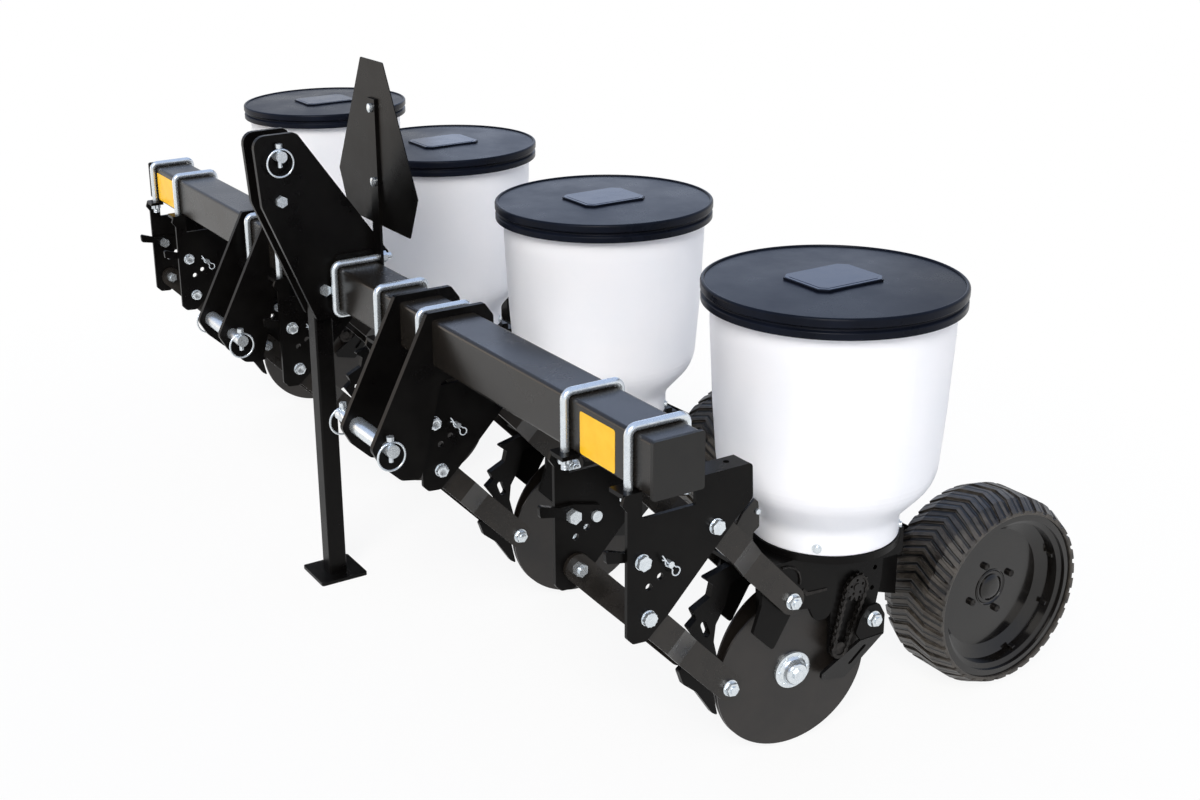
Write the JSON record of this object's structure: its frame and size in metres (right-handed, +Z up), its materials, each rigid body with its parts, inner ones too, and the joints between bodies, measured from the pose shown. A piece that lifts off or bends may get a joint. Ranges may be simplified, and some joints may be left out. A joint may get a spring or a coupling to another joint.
{
  "type": "row planter",
  "caption": "Mounted row planter: square toolbar with a three-point hitch, carrying parallel-arm row units with a seed hopper, double-disc opener and press wheel each.",
  "frame": {"origin": "centre of the sole of the parking stand, on the ground, under the middle of the toolbar", "axes": "+X along the toolbar, +Y to the rear where the press wheels run, +Z up"},
  "size_m": [2.768, 1.3161, 1.2365],
  "materials": {
    "black_paint": "satin black powder coat",
    "zinc": "bright zinc plate",
    "black_plastic": "moulded black plastic",
    "hopper_plastic": "translucent white moulded plastic",
    "disc_steel": "dark coated steel",
    "cast": "black painted casting",
    "rim_paint": "gloss black",
    "tyre": "ribbed rubber"
  },
  "bodies": {
    "frame": {"toolbar": "black_paint", "end_caps": "black_plastic", "row_brackets": "black_paint", "mast": "black_paint", "hitch_brackets": "black_paint", "hitch_pins": "zinc", "lynch_pins": "zinc", "clamp_bolts": "zinc", "frame_bolts": "zinc", "sign_post": "black_paint", "sign_plate": "black_paint"},
    "stand": {"stand_leg": "black_paint"},
    "upper_arms_1": {"upper_arms_1": "black_paint"},
    "lower_arms_1": {"lower_arms_1": "black_paint"},
    "unit_1": {"unit_frame_1": "black_paint", "meter_housing_1": "cast", "drive_chains_1": "disc_steel", "hopper_1": "hopper_plastic"},
    "lid_1": {"hopper_lid_1": "black_plastic"},
    "disc_left_1": {"disc_left_1": "disc_steel"},
    "disc_right_1": {"disc_right_1": "disc_steel"},
    "meter_1": {"seed_meter_1": "cast"},
    "wheel_1": {"wheel_rim_1": "rim_paint", "wheel_tyre_1": "tyre"},
    "upper_arms_2": {"upper_arms_2": "black_paint"},
    "lower_arms_2": {"lower_arms_2": "black_paint"},
    "unit_2": {"unit_frame_2": "black_paint", "meter_housing_2": "cast", "drive_chains_2": "disc_steel", "hopper_2": "hopper_plastic"},
    "lid_2": {"hopper_lid_2": "black_plastic"},
    "disc_left_2": {"disc_left_2": "disc_steel"},
    "disc_right_2": {"disc_right_2": "disc_steel"},
    "meter_2": {"seed_meter_2": "cast"},
    "wheel_2": {"wheel_rim_2": "rim_paint", "wheel_tyre_2": "tyre"},
    "upper_arms_3": {"upper_arms_3": "black_paint"},
    "lower_arms_3": {"lower_arms_3": "black_paint"},
    "unit_3": {"unit_frame_3": "black_paint", "meter_housing_3": "cast", "drive_chains_3": "disc_steel", "hopper_3": "hopper_plastic"},
    "lid_3": {"hopper_lid_3": "black_plastic"},
    "disc_left_3": {"disc_left_3": "disc_steel"},
    "disc_right_3": {"disc_right_3": "disc_steel"},
    "meter_3": {"seed_meter_3": "cast"},
    "wheel_3": {"wheel_rim_3": "rim_paint", "wheel_tyre_3": "tyre"},
    "upper_arms_4": {"upper_arms_4": "black_paint"},
    "lower_arms_4": {"lower_arms_4": "black_paint"},
    "unit_4": {"unit_frame_4": "black_paint", "meter_housing_4": "cast", "drive_chains_4": "disc_steel", "hopper_4": "hopper_plastic"},
    "lid_4": {"hopper_lid_4": "black_plastic"},
    "disc_left_4": {"disc_left_4": "disc_steel"},
    "disc_right_4": {"disc_right_4": "disc_steel"},
    "meter_4": {"seed_meter_4": "cast"},
    "wheel_4": {"wheel_rim_4": "rim_paint", "wheel_tyre_4": "tyre"}
  },
  "joints": [
    {"name": "stand_swing", "type": "hinge", "parent": "frame", "child": "stand", "pos_m": [0, 0, 0.7245], "axis": [-1, 0, 0], "range_deg": [0, 90]},
    {"name": "arm_lift_1", "type": "hinge", "parent": "frame", "child": "upper_arms_1", "pos_m": [-1.143, 0.186, 0.5745], "axis": [1, 0, 0], "range_deg": [0, 40]},
    {"name": "lower_arm_lift_1", "type": "hinge", "parent": "frame", "child": "lower_arms_1", "pos_m": [-1.143, 0.045, 0.4375], "axis": [1, 0, 0], "range_deg": [0, 40]},
    {"name": "unit_level_1", "type": "hinge", "parent": "upper_arms_1", "child": "unit_1", "pos_m": [-1.143, 0.39702, 0.3529], "axis": [1, 0, 0], "range_deg": [-40, 0]},
    {"name": "disc_left_spin_1", "type": "hinge", "parent": "unit_1", "child": "disc_left_1", "pos_m": [-1.16499, 0.448, 0.16877], "axis": [-0.9932, -0.1044, -0.0523], "continuous": true},
    {"name": "disc_right_spin_1", "type": "hinge", "parent": "unit_1", "child": "disc_right_1", "pos_m": [-1.12101, 0.448, 0.16877], "axis": [0.9932, -0.1044, -0.0523], "continuous": true},
    {"name": "wheel_spin_1", "type": "hinge", "parent": "unit_1", "child": "wheel_1", "pos_m": [-1.143, 0.967, 0.2032], "axis": [1, 0, 0], "continuous": true},
    {"name": "meter_spin_1", "type": "hinge", "parent": "unit_1", "child": "meter_1", "pos_m": [-1.143, 0.566, 0.3295], "axis": [1, 0, 0], "continuous": true},
    {"name": "lid_lift_1", "type": "slide", "parent": "unit_1", "child": "lid_1", "axis": [0, 0, 1], "range_m": [0, 0.12]},
    {"name": "arm_lift_2", "type": "hinge", "parent": "frame", "child": "upper_arms_2", "pos_m": [-0.381, 0.186, 0.5745], "axis": [1, 0, 0], "range_deg": [0, 40]},
    {"name": "lower_arm_lift_2", "type": "hinge", "parent": "frame", "child": "lower_arms_2", "pos_m": [-0.381, 0.045, 0.4375], "axis": [1, 0, 0], "range_deg": [0, 40]},
    {"name": "unit_level_2", "type": "hinge", "parent": "upper_arms_2", "child": "unit_2", "pos_m": [-0.381, 0.39702, 0.3529], "axis": [1, 0, 0], "range_deg": [-40, 0]},
    {"name": "disc_left_spin_2", "type": "hinge", "parent": "unit_2", "child": "disc_left_2", "pos_m": [-0.40299, 0.448, 0.16877], "axis": [-0.9932, -0.1044, -0.0523], "continuous": true},
    {"name": "disc_right_spin_2", "type": "hinge", "parent": "unit_2", "child": "disc_right_2", "pos_m": [-0.35901, 0.448, 0.16877], "axis": [0.9932, -0.1044, -0.0523], "continuous": true},
    {"name": "wheel_spin_2", "type": "hinge", "parent": "unit_2", "child": "wheel_2", "pos_m": [-0.381, 0.967, 0.2032], "axis": [1, 0, 0], "continuous": true},
    {"name": "meter_spin_2", "type": "hinge", "parent": "unit_2", "child": "meter_2", "pos_m": [-0.381, 0.566, 0.3295], "axis": [1, 0, 0], "continuous": true},
    {"name": "lid_lift_2", "type": "slide", "parent": "unit_2", "child": "lid_2", "axis": [0, 0, 1], "range_m": [0, 0.12]},
    {"name": "arm_lift_3", "type": "hinge", "parent": "frame", "child": "upper_arms_3", "pos_m": [0.381, 0.186, 0.5745], "axis": [1, 0, 0], "range_deg": [0, 40]},
    {"name": "lower_arm_lift_3", "type": "hinge", "parent": "frame", "child": "lower_arms_3", "pos_m": [0.381, 0.045, 0.4375], "axis": [1, 0, 0], "range_deg": [0, 40]},
    {"name": "unit_level_3", "type": "hinge", "parent": "upper_arms_3", "child": "unit_3", "pos_m": [0.381, 0.39702, 0.3529], "axis": [1, 0, 0], "range_deg": [-40, 0]},
    {"name": "disc_left_spin_3", "type": "hinge", "parent": "unit_3", "child": "disc_left_3", "pos_m": [0.35901, 0.448, 0.16877], "axis": [-0.9932, -0.1044, -0.0523], "continuous": true},
    {"name": "disc_right_spin_3", "type": "hinge", "parent": "unit_3", "child": "disc_right_3", "pos_m": [0.40299, 0.448, 0.16877], "axis": [0.9932, -0.1044, -0.0523], "continuous": true},
    {"name": "wheel_spin_3", "type": "hinge", "parent": "unit_3", "child": "wheel_3", "pos_m": [0.381, 0.967, 0.2032], "axis": [1, 0, 0], "continuous": true},
    {"name": "meter_spin_3", "type": "hinge", "parent": "unit_3", "child": "meter_3", "pos_m": [0.381, 0.566, 0.3295], "axis": [1, 0, 0], "continuous": true},
    {"name": "lid_lift_3", "type": "slide", "parent": "unit_3", "child": "lid_3", "axis": [0, 0, 1], "range_m": [0, 0.12]},
    {"name": "arm_lift_4", "type": "hinge", "parent": "frame", "child": "upper_arms_4", "pos_m": [1.143, 0.186, 0.5745], "axis": [1, 0, 0], "range_deg": [0, 40]},
    {"name": "lower_arm_lift_4", "type": "hinge", "parent": "frame", "child": "lower_arms_4", "pos_m": [1.143, 0.045, 0.4375], "axis": [1, 0, 0], "range_deg": [0, 40]},
    {"name": "unit_level_4", "type": "hinge", "parent": "upper_arms_4", "child": "unit_4", "pos_m": [1.143, 0.39702, 0.3529], "axis": [1, 0, 0], "range_deg": [-40, 0]},
    {"name": "disc_left_spin_4", "type": "hinge", "parent": "unit_4", "child": "disc_left_4", "pos_m": [1.12101, 0.448, 0.16877], "axis": [-0.9932, -0.1044, -0.0523], "continuous": true},
    {"name": "disc_right_spin_4", "type": "hinge", "parent": "unit_4", "child": "disc_right_4", "pos_m": [1.16499, 0.448, 0.16877], "axis": [0.9932, -0.1044, -0.0523], "continuous": true},
    {"name": "wheel_spin_4", "type": "hinge", "parent": "unit_4", "child": "wheel_4", "pos_m": [1.143, 0.967, 0.2032], "axis": [1, 0, 0], "continuous": true},
    {"name": "meter_spin_4", "type": "hinge", "parent": "unit_4", "child": "meter_4", "pos_m": [1.143, 0.566, 0.3295], "axis": [1, 0, 0], "continuous": true},
    {"name": "lid_lift_4", "type": "slide", "parent": "unit_4", "child": "lid_4", "axis": [0, 0, 1], "range_m": [0, 0.12]}
  ],
  "couplings": [
    {"joint": "lower_arm_lift_1", "follows": "arm_lift_1", "ratio": 1},
    {"joint": "unit_level_1", "follows": "arm_lift_1", "ratio": -1},
    {"joint": "meter_spin_1", "follows": "wheel_spin_1", "ratio": 1.5},
    {"joint": "lower_arm_lift_2", "follows": "arm_lift_2", "ratio": 1},
    {"joint": "unit_level_2", "follows": "arm_lift_2", "ratio": -1},
    {"joint": "meter_spin_2", "follows": "wheel_spin_2", "ratio": 1.5},
    {"joint": "lower_arm_lift_3", "follows": "arm_lift_3", "ratio": 1},
    {"joint": "unit_level_3", "follows": "arm_lift_3", "ratio": -1},
    {"joint": "meter_spin_3", "follows": "wheel_spin_3", "ratio": 1.5},
    {"joint": "lower_arm_lift_4", "follows": "arm_lift_4", "ratio": 1},
    {"joint": "unit_level_4", "follows": "arm_lift_4", "ratio": -1},
    {"joint": "meter_spin_4", "follows": "wheel_spin_4", "ratio": 1.5}
  ]
}
